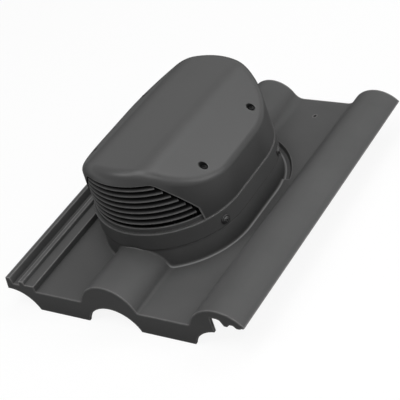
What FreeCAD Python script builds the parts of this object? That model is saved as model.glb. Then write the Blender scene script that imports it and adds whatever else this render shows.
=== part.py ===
# Roof tile vent: a double-roll roof tile moulded with a raised collar, and on the collar
# a ring, a louvred grille and a hood that keep rain out of the air duct below.
# Millimetres. The tile lies flat with its nose towards -Y, its head towards +Y and +Z up.
# The origin is the middle of the tile's outline on the plane that it rests on.

import FreeCAD, Part
import math
import os

import Sketcher
from FreeCAD import Placement, Rotation, Vector

# Driving sizes: name, value, meaning
SIZES = (
    ("tile_length", 420, "tile, nose to head"),
    ("shell_wall", 3, "thickness of the tile's shell"),
    ("skirt_depth", 29, "top of the pans above the lower edge of the nose skirt"),
    ("skirt_wall", 3.5, "thickness of the nose skirt"),
    ("nose_round", 1, "rounding along the top of the nose"),
    ("lock_width", 43, "underlapping water lock along the left side"),
    ("left_pan_width", 69.5, "pan beside the water lock"),
    ("roll_width", 80, "middle roll at the nose"),
    ("roll_height", 31, "both rolls at the nose, above the pans"),
    ("middle_pan_width", 71.5, "pan between the rolls"),
    ("cover_roll_width", 83, "full width of the covering roll's arc at the nose"),
    ("cover_edge_cut", 7, "free edge of the covering roll short of that full width"),
    ("head_roll_width", 68, "middle roll at the head"),
    ("head_roll_height", 26, "both rolls at the head"),
    ("head_cover_roll_width", 73, "full width of the covering roll's arc at the head"),
    ("head_edge_inset", 4.5, "free edge drawn in at the head"),
    ("roll_foot_radius", 4, "hollow between a pan and a roll at the nose"),
    ("head_roll_foot_radius", 14, "the same hollow at the head"),
    ("roll_pitch", 150, "roll to roll, half the cover width of the tile"),
    ("arch_radius", 40, "arches of the skirt, which sit on the rolls below"),
    ("arch_drop", 42, "centre of an arch below the pans"),
    ("skirt_end_inset", 43, "end of the skirt from the free edge"),
    ("lip_inset", 2.8, "lip under the covering roll, from the free edge"),
    ("lip_start_height", 13, "lip's outer end above the pan"),
    ("lip_flat", 4.1, "flats along the lip's lower edge"),
    ("lip_slope", 3.9, "slopes between those flats, across"),
    ("lip_tooth_height", 10.8, "teeth of the lip above the pan"),
    ("lip_notch_height", 14.6, "notch between the teeth"),
    ("lip_bend_height", 18.6, "bend at the lip's inner end"),
    ("lip_end_height", 20, "lip's inner end above the pan"),
    ("lock_foot_drop", 0.5, "outer foot of the water lock below the pan"),
    ("lock_foot_width", 4, "outer foot of the water lock, across"),
    ("lock_rib_width", 6, "top of each rib of the water lock"),
    ("lock_rib_lean", 2.5, "sloping sides of the outer rib, across"),
    ("lock_inner_rib_lean", 1, "sloping sides of the inner rib, across"),
    ("lock_groove_width", 9.5, "floor of the groove between the ribs"),
    ("lock_rib_height", 15.5, "outer rib of the water lock above the pan"),
    ("lock_groove_height", 6.5, "floor of the water lock above the pan"),
    ("lock_inner_rib_height", 12.6, "inner rib of the water lock above the pan"),
    ("lock_strip_height", 8, "flat strip of the water lock above the pan"),
    ("drip_rib_width", 3, "ribs below the covering roll"),
    ("drip_rib_inset", 9, "outer drip rib from the free edge"),
    ("drip_rib_spacing", 16, "outer drip rib to the inner one"),
    ("drip_height", 10.7, "lower edge of those ribs above the pan"),
    ("nib_width", 30, "hanging nibs below the head"),
    ("nib_thickness", 10, "hanging nibs along the tile"),
    ("nib_inset", 4, "hanging nibs from the head"),
    ("nail_hole_radius", 2.25, "nail hole in the middle pan"),
    ("nail_hole_inset", 33, "nail hole from the head"),
    ("collar_offset", -7, "centre of the collar along the tile"),
    ("collar_radius", 97, "round ends of the collar"),
    ("collar_straight", 64, "straight sides of the collar"),
    ("plinth_height", 28, "collar up to the ring, above the pan"),
    ("collar_foot", 2.5, "hollow around the foot of the collar"),
    ("upstand_height", 17, "inner wall of the collar, up inside the ring"),
    ("deck_height", 8, "top of the deck inside the collar, above the pan"),
    ("gutter_width", 10, "gutter behind the collar"),
    ("gutter_depth", 4, "gutter below the pan"),
    ("gutter_bank", 2.5, "slope of the gutter's outer side, across"),
    ("gutter_front_angle", 14, "front end of the gutter from the collar's side, in degrees"),
    ("gutter_back_angle", 64, "back end of the gutter from the collar's side, in degrees"),
    ("ring_lap", 1, "ring stands out from the collar"),
    ("ring_height", 23, "ring's band"),
    ("ring_clearance", 0.4, "between the ring's band and the collar's inner wall"),
    ("ring_edge", 1.2, "rounding of the ring's edges"),
    ("plate_thickness", 3, "plate on top of the ring"),
    ("plate_opening_radius", 64, "round ends of the plate's opening"),
    ("hood_inset", 1.3, "foot of the hood from the ring's outside"),
    ("hood_draft", 1.95, "lean of the hood's wall, in degrees"),
    ("hood_wall", 3, "thickness of the hood"),
    ("hood_eaves_height", 43.8, "hood's top edge at the sides, above the ring"),
    ("hood_front_height", 86.5, "hood's crown at the front, above the ring"),
    ("hood_back_height", 80.7, "hood's crown at the back, above the ring"),
    ("crown_width", 81.2, "nearly flat middle of the hood's top"),
    ("crown_rise", 1.7, "rise of that middle over its width"),
    ("crown_blend", 48, "rounding between the middle and the sloping sides"),
    ("hood_edge", 11.4, "rounding of the hood's top edge"),
    ("mouth_height", 68, "hood's front opening, above the ring"),
    ("mouth_top_width", 80, "front opening along its straight top"),
    ("mouth_shoulder_width", 100, "front opening below its top corners"),
    ("mouth_shoulder_drop", 5.5, "top corners of the front opening"),
    ("mouth_corner_radius", 14, "rounding of those corners"),
    ("mouth_side_radius", 156, "bulging sides of the front opening"),
    ("mouth_hip_width", 156, "front opening at the hips"),
    ("mouth_hip_height", 18, "hips of the front opening above the ring"),
    ("mouth_foot_width", 162, "front opening at its foot"),
    ("blade_count", 7, "louvre blades"),
    ("blade_first", 12.9, "outer edge of the lowest blade above the ring"),
    ("blade_top_gap", 6.6, "outer edge of the highest blade below the top of the opening"),
    ("blade_thickness", 1.8, "louvre blade"),
    ("blade_depth", 9, "louvre blade, outside to inside"),
    ("blade_fall", 5, "outer edge of a blade below its inner edge"),
    ("blade_end_gap", 4, "blade end to the side of the opening"),
    ("grille_inset", 3.5, "louvre grille from the ring's outside"),
    ("grille_wall", 2.5, "thickness of the grille's foot strip"),
    ("grille_foot_height", 6.5, "foot strip of the louvre grille"),
    ("grille_foot_depth", 12.5, "foot strip, outside to inside"),
    ("grille_foot_gap", 1, "end of the foot strip to the side of the opening"),
    ("grille_post_width", 3, "posts of the louvre grille, across"),
    ("grille_post_depth", 4.5, "posts of the louvre grille, outside to inside"),
    ("grille_post_spacing", 28, "one post to the next, along the grille's outside"),
    ("post_radius", 6, "posts that carry the hood"),
    ("post_spread_across", 156, "hood screws, side to side"),
    ("post_spread_along", 114.6, "hood screws, front to back"),
    ("post_height", 44.5, "posts above the ring"),
    ("post_gap", 0.2, "post to the boss above it"),
    ("boss_radius", 7.5, "bosses inside the hood"),
    ("hood_seat_height", 52.2, "seats of the hood screws above the ring"),
    ("hood_recess_radius", 4.85, "recesses of the hood screws"),
    ("screw_radius", 2, "shank of every screw"),
    ("screw_hole_clearance", 0.3, "shank in the piece that it holds down"),
    ("screw_thread_clearance", 0.1, "shank in the piece that it bites into"),
    ("screw_length", 20, "shank of a hood screw"),
    ("screw_head_radius", 4, "head of a hood screw"),
    ("screw_head_height", 2.6, "head of a hood screw"),
    ("ring_screw_angle", 20, "ring screws from the middle of the sides, in degrees"),
    ("ring_screw_height", 36.5, "ring screws above the pan"),
    ("ring_screw_length", 11, "shank of a ring screw"),
    ("ring_screw_margin", 2, "blind hole beyond the end of a ring screw"),
    ("ring_screw_head_radius", 4.1, "head of a ring screw"),
    ("ring_screw_head_height", 3.4, "head of a ring screw"),
    ("ring_screw_flange_radius", 6.1, "flange below the head of a ring screw"),
    ("ring_screw_flange", 1.5, "thickness of that flange"),
    ("drive_radius", 1.6, "socket in a screw's head"),
    ("drive_depth", 1.6, "depth of that socket"),
    ("spigot_radius", 62.5, "outside of the duct spigot"),
    ("spigot_wall", 3, "thickness of the duct spigot"),
    ("spigot_flange", 9.5, "width of the spigot's flange"),
    ("spigot_shoulder", 1.2, "stop for the duct, out from the spigot"),
    ("spigot_stop", 2, "that stop below the deck"),
    ("spigot_clearance", 0.8, "spigot in the deck's opening"),
    ("spigot_lift", 1, "end of the spigot above the resting plane"),
    ("seal_thickness", 2, "seal below the spigot's flange"),
    ("seal_margin", 1, "seal inside the flange's edge"),
)

# How far a cutting tool runs past what it cuts
OVERRUN = 10

# Fixed relations, written as the sheet's own expressions
WIDTH = ("(Sizes.lock_width + Sizes.left_pan_width + Sizes.roll_width"
         " + Sizes.middle_pan_width + Sizes.cover_roll_width - Sizes.cover_edge_cut)")
COLLAR_X = f"(Sizes.lock_width + Sizes.left_pan_width + Sizes.roll_width / 2 - {WIDTH} / 2)"
HALF_STRAIGHT = "Sizes.collar_straight / 2"
RING_RADIUS = "(Sizes.collar_radius + Sizes.ring_lap)"
RING_TOP = "(Sizes.plinth_height + Sizes.ring_height)"
HOOD_FOOT_RADIUS = f"({RING_RADIUS} - Sizes.hood_inset)"
EAVES_RADIUS = f"({HOOD_FOOT_RADIUS} - Sizes.hood_eaves_height * tan(Sizes.hood_draft * 1deg))"

# Ring screws: name, side it starts from in degrees, sense of its angle, and end of the collar
RING_SCREWS = (("front_right", 0, -1, -1), ("back_right", 0, 1, 1),
               ("back_left", 180, -1, 1), ("front_left", 180, 1, -1))


def make_sheet(doc):
    """Spreadsheet of the driving sizes, each cell under its own name."""
    sheet = doc.addObject("Spreadsheet::Sheet", "Sizes")
    for row, (name, value, meaning) in enumerate(SIZES, start=1):
        sheet.set(f"A{row}", meaning)
        sheet.set(f"B{row}", str(value))
        sheet.setAlias(f"B{row}", name)
    doc.recompute()
    return sheet


class Part_maker:
    """One body with the few sketch and feature steps that the pieces here share."""

    def __init__(self, doc, label, height="Sizes.skirt_depth"):
        self.doc = doc
        self.sheet = doc.Sizes
        self.body = doc.addObject("PartDesign::Body", label)
        self.body.Label = label
        if height is None:
            return
        self.body.setExpression("Placement.Base.x", COLLAR_X)
        self.body.setExpression("Placement.Base.y", "Sizes.collar_offset")
        self.body.setExpression("Placement.Base.z", height)

    def value(self, text):
        """Number that an expression gives now, used to draw a sketch near its solution."""
        if isinstance(text, (int, float)):
            return float(text)
        result = self.sheet.evalExpression(text)
        return float(getattr(result, "Value", result))

    def sketch(self, name, role="XY_Plane", offset=None):
        """Sketch on one of the body's own origin planes, moved along its normal."""
        sketch = self.body.newObject("Sketcher::SketchObject", name)
        plane = next(p for p in self.body.Origin.OriginFeatures if p.Role == role)
        sketch.AttachmentSupport = [(plane, "")]
        sketch.MapMode = "FlatFace"
        if offset is not None:
            sketch.setExpression("AttachmentOffset.Base.z", str(offset))
        return sketch

    def bind(self, sketch, constraint, expression):
        """Driving constraint whose value is an expression of the sheet."""
        index = sketch.addConstraint(constraint)
        sketch.setExpression(f"Constraints[{index}]", str(expression))

    def place(self, sketch, geometry, point, x, y):
        """Hold one point of a sketch at x, y from the sketch's origin."""
        for kind, text in (("DistanceX", x), ("DistanceY", y)):
            constraint = Sketcher.Constraint(kind, -1, 1, geometry, point, self.value(text))
            self.bind(sketch, constraint, text)

    def circle(self, sketch, x, y, radius):
        """Circle about x, y."""
        centre = Vector(self.value(x), self.value(y), 0)
        shape = Part.Circle(centre, Vector(0, 0, 1), self.value(radius))
        index = sketch.addGeometry(shape, False)
        self.place(sketch, index, 3, x, y)
        self.bind(sketch, Sketcher.Constraint("Radius", index, self.value(radius)), radius)

    def stadium(self, sketch, radius):
        """Two half circles joined by straight sides, round the collar's axis."""
        r, half = self.value(radius), self.value(HALF_STRAIGHT)
        normal = Vector(0, 0, 1)
        back = Part.ArcOfCircle(Part.Circle(Vector(0, half, 0), normal, r), 0, math.pi)
        left = Part.LineSegment(Vector(-r, half, 0), Vector(-r, -half, 0))
        front = Part.ArcOfCircle(Part.Circle(Vector(0, -half, 0), normal, r), math.pi, 2 * math.pi)
        right = Part.LineSegment(Vector(r, -half, 0), Vector(r, half, 0))
        first = sketch.addGeometry([back, left, front, right], False)[0]
        for step in range(4):
            following = first + (step + 1) % 4
            sketch.addConstraint(Sketcher.Constraint("Tangent", first + step, 2, following, 1))
        sketch.addConstraint(Sketcher.Constraint("Equal", first, first + 2))
        for arc, sign in ((first, 1), (first + 2, -1)):
            sketch.addConstraint(Sketcher.Constraint("PointOnObject", arc, 3, -2))
            distance = Sketcher.Constraint("DistanceY", -1, 1, arc, 3, sign * half)
            self.bind(sketch, distance, f"{sign} * {HALF_STRAIGHT}")
        self.bind(sketch, Sketcher.Constraint("Radius", first, r), radius)

    def outline(self, sketch, corners):
        """Closed outline through corners (x, y) or (x, y, radius), where the radius
        bends the side that leads to that corner into an arc. A negative one bends inwards."""
        points = [Vector(self.value(c[0]), self.value(c[1]), 0) for c in corners]
        count = len(corners)
        for k in range(count):
            start, end = points[k - 1], points[k]
            if len(corners[k]) == 2:
                sketch.addGeometry(Part.LineSegment(start, end), False)
                continue
            sketch.addGeometry(arc_through(start, end, self.value(corners[k][2])), False)
        for k in range(count):
            following = (k + 1) % count
            sketch.addConstraint(Sketcher.Constraint("Coincident", k, end_point(sketch, k, points[k]),
                                                     following, end_point(sketch, following, points[k])))
            self.place(sketch, k, end_point(sketch, k, points[k]), corners[k][0], corners[k][1])
            if len(corners[k]) == 3:
                radius = corners[k][2]
                value = abs(self.value(radius))
                self.bind(sketch, Sketcher.Constraint("Radius", k, value), f"abs({radius})")

    def feature(self, kind, name, sketch, **settings):
        """Feature made from a sketch; text settings are expressions."""
        feature = self.body.newObject(f"PartDesign::{kind}", name)
        feature.Profile = sketch
        for key, setting in settings.items():
            if isinstance(setting, str) and key != "Type":
                feature.setExpression(key, setting)
            else:
                setattr(feature, key, setting)
        return feature

    def pad(self, name, sketch, length, **settings):
        return self.feature("Pad", name, sketch, Length=length, **settings)

    def pocket(self, name, sketch, length, **settings):
        return self.feature("Pocket", name, sketch, Length=length, **settings)

    def revolve(self, name, sketch, axis_role="Z_Axis", kind="Revolution", **settings):
        feature = self.feature(kind, name, sketch, **settings)
        axis = next(a for a in self.body.Origin.OriginFeatures if a.Role == axis_role)
        feature.ReferenceAxis = (axis, [""])
        return feature

    def rim_edges(self, level, radius):
        """Test for the edges of a stadium of this radius at this height."""
        height, far, half = self.value(level), self.value(radius), self.value(HALF_STRAIGHT)

        def on_rim(edge):
            middle = edge.valueAt((edge.FirstParameter + edge.LastParameter) / 2)
            reach = math.hypot(middle.x, max(abs(middle.y) - half, 0))
            flat = edge.BoundBox.ZMax - edge.BoundBox.ZMin < 0.01
            return flat and abs(reach - far) < 0.01 and abs(middle.z - height) < 0.01

        return on_rim

    def fillet(self, name, base, picked, radius):
        """Fillet on the base's edges that the picked function accepts."""
        self.doc.recompute()
        edges = [f"Edge{k}" for k, edge in enumerate(base.Shape.Edges, start=1) if picked(edge)]
        fillet = self.body.newObject("PartDesign::Fillet", name)
        fillet.Base = (base, edges)
        fillet.setExpression("Radius", radius)
        return fillet


def arc_through(start, end, radius):
    """Arc from start to end, to the left of its chord when radius is positive."""
    middle = (start + end) * 0.5
    chord = end - start
    half = chord.Length / 2
    rise = abs(radius) - math.sqrt(max(radius * radius - half * half, 0))
    side = Vector(-chord.y, chord.x, 0).normalize()
    return Part.Arc(start, middle + side * math.copysign(rise, radius), end)


def end_point(sketch, index, point):
    """Which end of a sketch line or arc, 1 or 2, lies at a point."""
    first = sketch.getPoint(index, 1)
    return 1 if (first - point).Length < 1e-6 else 2


# Tile base

def size(doc, name):
    return float(doc.Sizes.get(name))


def tile_plan(doc):
    """Where the tile's pans and rolls stand, from the driving sizes."""
    s = {name: size(doc, name) for name, _, _ in SIZES}
    width = (s["lock_width"] + s["left_pan_width"] + s["roll_width"]
             + s["middle_pan_width"] + s["cover_roll_width"] - s["cover_edge_cut"])
    s["left"] = -width / 2
    s["right"] = width / 2
    s["pan_start"] = s["left"] + s["lock_width"]
    s["roll_x"] = s["pan_start"] + s["left_pan_width"] + s["roll_width"] / 2
    s["cover_x"] = s["right"] + s["cover_edge_cut"] - s["cover_roll_width"] / 2
    s["nose"] = -s["tile_length"] / 2
    s["head"] = s["tile_length"] / 2
    return s


def roll_circle(x, width, height, pan):
    """Centre and radius of the arc over a roll of this width and height."""
    radius = (width * width / 4 + height * height) / (2 * height)
    return Vector(x, 0, pan + height - radius), radius


def arc_edge(centre, start, end):
    """Arc of less than half a turn about a centre."""
    toward = (start + end) * 0.5 - centre
    radius = (start - centre).Length
    return Part.Arc(start, centre + toward * (radius / toward.Length), end).toShape()


def surface_edges(s, y, depth):
    """Pans and rolls across the tile at y, as edges that lie depth below the top surface.
    A small arc joins each pan to its roll."""
    at_head = (y - s["nose"]) / s["tile_length"]

    def between(nose_name, head_name):
        return s[nose_name] + at_head * (s[head_name] - s[nose_name])

    pan = s["skirt_depth"]
    height = between("roll_height", "head_roll_height")
    rolls = (
        (roll_circle(s["roll_x"], between("roll_width", "head_roll_width"), height, pan), None),
        (roll_circle(s["cover_x"], between("cover_roll_width", "head_cover_roll_width"),
                     height, pan), s["right"] - at_head * s["head_edge_inset"]),
    )
    foot = between("roll_foot_radius", "head_roll_foot_radius")
    level = pan - depth
    place = Vector(s["pan_start"], y, level)
    edges = []
    for (centre, radius), free_edge in rolls:
        centre = centre + Vector(0, y, 0)
        reach = math.sqrt((radius + foot) ** 2 - (pan + foot - centre.z) ** 2)
        ends = []
        for side in (-1, 1):
            foot_centre = Vector(centre.x + side * reach, y, pan + foot)
            toward = (foot_centre - centre).normalize()
            ends.append((foot_centre, Vector(foot_centre.x, y, level),
                         centre + toward * (radius - depth)))
        (foot_in, pan_in, roll_in), (foot_out, pan_out, roll_out) = ends
        edges.append(Part.LineSegment(place, pan_in).toShape())
        edges.append(arc_edge(foot_in, pan_in, roll_in))
        if free_edge is not None:
            across = free_edge - centre.x
            rise = math.sqrt(radius * radius - across * across)
            toward = Vector(across, 0, rise) * (1 / radius)
            edges.append(arc_edge(centre, roll_in, centre + toward * (radius - depth)))
            break
        edges.append(arc_edge(centre, roll_in, roll_out))
        edges.append(arc_edge(foot_out, roll_out, pan_out))
        place = pan_out
    return edges


def lock_points(s, y):
    """Water lock's top, from its outer foot to the edge of the pan."""
    lean, inner_lean, rib = s["lock_rib_lean"], s["lock_inner_rib_lean"], s["lock_rib_width"]
    outer_rib, inner_rib = s["lock_rib_height"], s["lock_inner_rib_height"]
    groove, strip = s["lock_groove_height"], s["lock_strip_height"]
    steps = ((0, -s["lock_foot_drop"]), (lean, outer_rib), (rib, outer_rib), (lean, groove),
             (s["lock_groove_width"], groove), (inner_lean, inner_rib), (rib, inner_rib),
             (inner_lean, strip))
    place = s["left"]
    points = []
    for across, height in steps:
        place += across
        points.append(Vector(place, y, s["skirt_depth"] + height))
    points.append(Vector(s["pan_start"] - inner_lean / 2, y, s["skirt_depth"] + strip))
    points.append(Vector(s["pan_start"], y, s["skirt_depth"]))
    return points


def lines(points):
    return [Part.LineSegment(a, b).toShape() for a, b in zip(points, points[1:])]


def section(s, y):
    """Closed section of the shell at y: water lock, pans and rolls, and back below them."""
    pan, wall = s["skirt_depth"], s["shell_wall"]
    top = surface_edges(s, y, 0)
    bottom = surface_edges(s, y, wall)
    below = pan + s["lock_groove_height"] - wall
    inner = s["pan_start"] - wall
    foot = s["left"] + s["lock_foot_width"]
    under_lock = [
        bottom[0].Vertexes[0].Point,
        Vector(inner, y, pan - wall),
        Vector(inner, y, below),
        Vector(foot + s["lock_inner_rib_lean"], y, below),
        Vector(foot, y, pan - s["lock_foot_drop"]),
        lock_points(s, y)[0],
    ]
    free_edge = lines([top[-1].Vertexes[1].Point, bottom[-1].Vertexes[1].Point])
    return Part.Wire(lines(lock_points(s, y)) + top + free_edge + bottom[::-1] + lines(under_lock))


def arch(s, x, start_x, end_x):
    """Arc of the skirt's lower edge over one roll of the course below."""
    centre = Vector(x, s["nose"], s["skirt_depth"] - s["arch_drop"])

    def at(place):
        return Vector(place, s["nose"], centre.z + math.sqrt(s["arch_radius"] ** 2 - (place - x) ** 2))

    return arc_edge(centre, at(start_x), at(end_x))


def lip_points(s, y):
    """Lower edge of the skirt's lip: two teeth with a notch between, then up to the inner end."""
    flat, slope = s["lip_flat"], s["lip_slope"]
    tooth, notch, end = s["lip_tooth_height"], s["lip_notch_height"], s["lip_end_height"]
    steps = ((s["lip_inset"], s["lip_start_height"]), (slope, tooth), (flat, tooth), (slope, notch),
             (flat, notch), (slope, tooth), (flat, tooth), (slope, s["lip_bend_height"]),
             (slope, end))
    place = s["right"]
    points = []
    for across, height in steps:
        place -= across
        points.append(Vector(place, y, s["skirt_depth"] + height))
    points.append(Vector(s["right"] - s["skirt_end_inset"], y, s["skirt_depth"] + end))
    return points


def skirt(s):
    """Skirt across the nose, arched over the rolls below, with a lip that laps the lock
    of the next tile."""
    pan, y = s["skirt_depth"], s["nose"]
    half_chord = math.sqrt(s["arch_radius"] ** 2 - (s["arch_drop"] - pan) ** 2)
    end_x = s["right"] - s["skirt_end_inset"]
    arches = [s["roll_x"] + step * s["roll_pitch"] for step in (1, 0, -1)]
    lip = lip_points(s, y)
    right_arch = arch(s, arches[0], end_x, arches[0] - half_chord)
    middle_arch = arch(s, arches[1], arches[1] + half_chord, arches[1] - half_chord)
    left_arch = arch(s, arches[2], arches[2] + half_chord, s["left"])
    middle = surface_edges(s, y, s["shell_wall"] / 2)
    start = Vector(s["pan_start"] - 1, y, pan + s["lock_groove_height"] - 1)
    rise = [
        left_arch.Vertexes[1].Point,
        Vector(s["left"], y, pan - s["lock_foot_drop"]),
        Vector(s["left"] + 2, y, pan + s["lock_groove_height"] - 1),
        start,
        Vector(start.x, y, pan - s["shell_wall"] / 2),
        middle[0].Vertexes[0].Point,
    ]
    edges = lines(rise) + middle
    edges += lines([middle[-1].Vertexes[1].Point] + lip + [right_arch.Vertexes[0].Point])
    edges.append(right_arch)
    edges += lines([right_arch.Vertexes[1].Point, middle_arch.Vertexes[0].Point])
    edges.append(middle_arch)
    edges += lines([middle_arch.Vertexes[1].Point, left_arch.Vertexes[0].Point])
    edges.append(left_arch)
    return Part.Face(Part.Wire(edges)).extrude(Vector(0, s["skirt_wall"], 0))


def drip_rib(s, inset):
    """Rib along the underside of the covering roll, from the nose to the head."""
    x = s["right"] - inset
    half = s["drip_rib_width"] / 2
    low = s["skirt_depth"] + s["drip_height"]
    wires = []
    for y in (s["nose"] + s["skirt_wall"] / 2, s["head"]):
        cover = surface_edges(s, y, s["shell_wall"] / 2)[-1].Curve
        tops = [cover.Center.z + math.sqrt(cover.Radius ** 2 - (x + side - cover.Center.x) ** 2)
                for side in (-half, half)]
        corners = [Vector(x - half, y, low), Vector(x - half, y, tops[0]),
                   Vector(x + half, y, tops[1]), Vector(x + half, y, low)]
        wires.append(Part.makePolygon(corners + corners[:1]))
    return Part.makeLoft(wires, True, True)


def stadium_wire(radius, half_straight, z):
    """Stadium outline round the origin at height z."""
    def at(x, y):
        return Vector(x, y, z)

    back = Part.Arc(at(radius, half_straight), at(0, half_straight + radius),
                    at(-radius, half_straight)).toShape()
    front = Part.Arc(at(-radius, -half_straight), at(0, -half_straight - radius),
                     at(radius, -half_straight)).toShape()
    left = Part.LineSegment(at(-radius, half_straight), at(-radius, -half_straight)).toShape()
    right = Part.LineSegment(at(radius, -half_straight), at(radius, half_straight)).toShape()
    return Part.Wire([back, left, front, right])


def stadium_wall(s, outer, inner, low, high):
    """Upright wall of stadium plan between two radii; a plate where the inner one is None."""
    half = s["collar_straight"] / 2
    wall = Part.Face(stadium_wire(outer, half, low)).extrude(Vector(0, 0, high - low))
    if inner is not None:
        wall = wall.cut(Part.Face(stadium_wire(inner, half, low)).extrude(Vector(0, 0, high - low)))
    return wall


def gutter_sector(s, side, inner, outer, low, brim, high):
    """Part of a trough behind the collar, over the pan on one side: its outer side slopes up
    to the brim and is upright above it."""
    corners = [Vector(inner, 0, low), Vector(outer - s["gutter_bank"], 0, low), Vector(outer, 0, brim)]
    if high > brim:
        corners.append(Vector(outer, 0, high))
    corners.append(Vector(inner, 0, high))
    face = Part.Face(Part.makePolygon(corners + corners[:1]))
    front, back = s["gutter_front_angle"], s["gutter_back_angle"]
    face.rotate(Vector(), Vector(0, 0, 1), front if side > 0 else 180 - front)
    sector = face.revolve(Vector(), Vector(0, 0, 1), side * (back - front))
    sector.translate(Vector(s["roll_x"], s["collar_offset"] + s["collar_straight"] / 2, 0))
    return sector


def screw_boss(s, angle, end):
    """Boss inside the collar's wall for one ring screw, and the hole for its shank."""
    turn = math.radians(angle)
    outward = Vector(math.cos(turn), math.sin(turn), 0)
    centre = Vector(0, end * s["collar_straight"] / 2, s["skirt_depth"] + s["ring_screw_height"])
    face = s["collar_radius"] - s["shell_wall"]
    tip = s["collar_radius"] + s["ring_lap"] - s["ring_screw_length"] - s["ring_screw_margin"]
    start = tip - s["shell_wall"] / 2
    boss = Part.makeCylinder(s["screw_radius"] + s["shell_wall"], face - s["shell_wall"] / 2 - start,
                             centre + outward * start, outward)
    hole = Part.makeCylinder(s["screw_radius"] + s["screw_thread_clearance"], 2 * (face - tip),
                             centre + outward * tip, outward)
    return boss, hole


def collar(s):
    """Raised collar: outer wall, shoulder for the ring, inner wall inside the ring and a deck
    with the duct's opening. Round its own axis, on the resting plane."""
    r, wall, pan = s["collar_radius"], s["shell_wall"], s["skirt_depth"]
    shoulder = pan + s["plinth_height"]
    deck = pan + s["deck_height"]
    inner = r - wall
    parts = [
        stadium_wall(s, inner, inner - wall, shoulder - wall, shoulder + s["upstand_height"]),
        stadium_wall(s, r - wall / 2, inner - wall, shoulder - wall, shoulder),
        stadium_wall(s, r - wall / 2, None, deck - wall, deck),
    ]
    solid = stadium_wall(s, r, inner, pan - wall, shoulder).multiFuse(parts)
    hole_radius = s["spigot_radius"] + s["spigot_shoulder"] + s["spigot_clearance"]
    opening = Part.makeCylinder(hole_radius, 4 * wall, Vector(0, 0, deck - 3 * wall))
    solid = solid.cut(opening)
    bosses, holes = zip(*(screw_boss(s, start + sense * s["ring_screw_angle"], end)
                          for _, start, sense, end in RING_SCREWS))
    return solid.multiFuse(list(bosses)).cut(Part.makeCompound(list(holes)))


def tile_base(doc):
    """Tile moulded in one piece with its skirt, water lock, nibs and collar."""
    s = tile_plan(doc)
    pan, wall, r = s["skirt_depth"], s["shell_wall"], s["collar_radius"]
    shell = Part.makeLoft([section(s, s["nose"]), section(s, s["head"])], True, True)
    ribs = [drip_rib(s, s["drip_rib_inset"]), drip_rib(s, s["drip_rib_inset"] + s["drip_rib_spacing"])]
    tile = shell.multiFuse([skirt(s)] + ribs).removeSplitter()
    nose_edges = [e for e in tile.Edges if on_nose(s, e)]
    tile = tile.makeFillet(s["nose_round"], nose_edges)

    to_collar = Vector(s["roll_x"], s["collar_offset"], 0)
    shoulder = pan + s["plinth_height"]
    above_rolls = pan + s["roll_height"] + 2 * s["collar_foot"]
    opening = stadium_wall(s, r - wall / 2, None, -wall, above_rolls)
    socket = stadium_wall(s, r, r - wall, pan - wall, above_rolls)
    ring_seat = stadium_wall(s, r + s["ring_lap"] + s["ring_clearance"], r - wall, shoulder,
                             shoulder + s["upstand_height"])
    raised = collar(s)
    for solid in (opening, socket, ring_seat, raised):
        solid.translate(to_collar)
    tile = tile.cut(opening).fuse(socket)
    foot_edges = [e for e in tile.Edges if on_collar_foot(s, e)]
    tile = tile.makeFillet(s["collar_foot"], foot_edges).fuse(raised).cut(ring_seat)

    trays, grooves = [], []
    floor, edge = pan - s["gutter_depth"], r + s["gutter_width"]
    under = pan - wall / 2
    for side in (1, -1):
        trays.append(gutter_sector(s, side, r - wall / 2, edge + wall, floor - wall, under, under))
        grooves.append(gutter_sector(s, side, r, edge, floor, pan, pan + 2 * s["collar_foot"]))
    tile = tile.multiFuse(trays).cut(Part.makeCompound(grooves))

    nibs = []
    for x in (s["pan_start"] + s["left_pan_width"] / 2,
              s["roll_x"] + (s["roll_width"] + s["middle_pan_width"]) / 2):
        corner = Vector(x - s["nib_width"] / 2, s["head"] - s["nib_inset"] - s["nib_thickness"], 0)
        nibs.append(Part.makeBox(s["nib_width"], s["nib_thickness"], pan - wall / 2, corner))
    tile = tile.multiFuse(nibs)
    nail_x = s["roll_x"] + (s["roll_width"] + s["middle_pan_width"]) / 2
    nail = Part.makeCylinder(s["nail_hole_radius"], 4 * wall,
                             Vector(nail_x, s["head"] - s["nail_hole_inset"], pan - 2 * wall))
    tile = tile.cut(nail).removeSplitter()
    feature = doc.addObject("Part::Feature", "tile_base")
    feature.Shape = tile.Solids[0] if len(tile.Solids) == 1 else tile
    feature.Placement = Placement()
    return feature


def middle_of(edge):
    return edge.valueAt((edge.FirstParameter + edge.LastParameter) / 2)


def off_surface(s, point):
    """Distance of a point from the top of the pans and rolls, across the tile."""
    vertex = Part.Vertex(point)
    return min(piece.distToShape(vertex)[0] for piece in surface_edges(s, point.y, 0))


def on_nose(s, edge):
    """True for the edge between the nose's face and the top of the pans and rolls."""
    flat = edge.BoundBox.YMax - s["nose"] < 0.01
    return flat and edge.Length > 1 and off_surface(s, middle_of(edge)) < 0.01


def on_collar_foot(s, edge):
    """True for the edge where the top of the pans and rolls meets the collar's outer wall."""
    point = middle_of(edge) - Vector(s["roll_x"], s["collar_offset"], 0)
    reach = math.hypot(point.x, max(abs(point.y) - s["collar_straight"] / 2, 0))
    upright = edge.BoundBox.ZLength > s["roll_height"] + s["collar_foot"]
    return (abs(reach - s["collar_radius"]) < 0.05 and not upright
            and off_surface(s, middle_of(edge)) < s["shell_wall"] / 2)


# Ring, grille, hood and duct pieces

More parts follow.
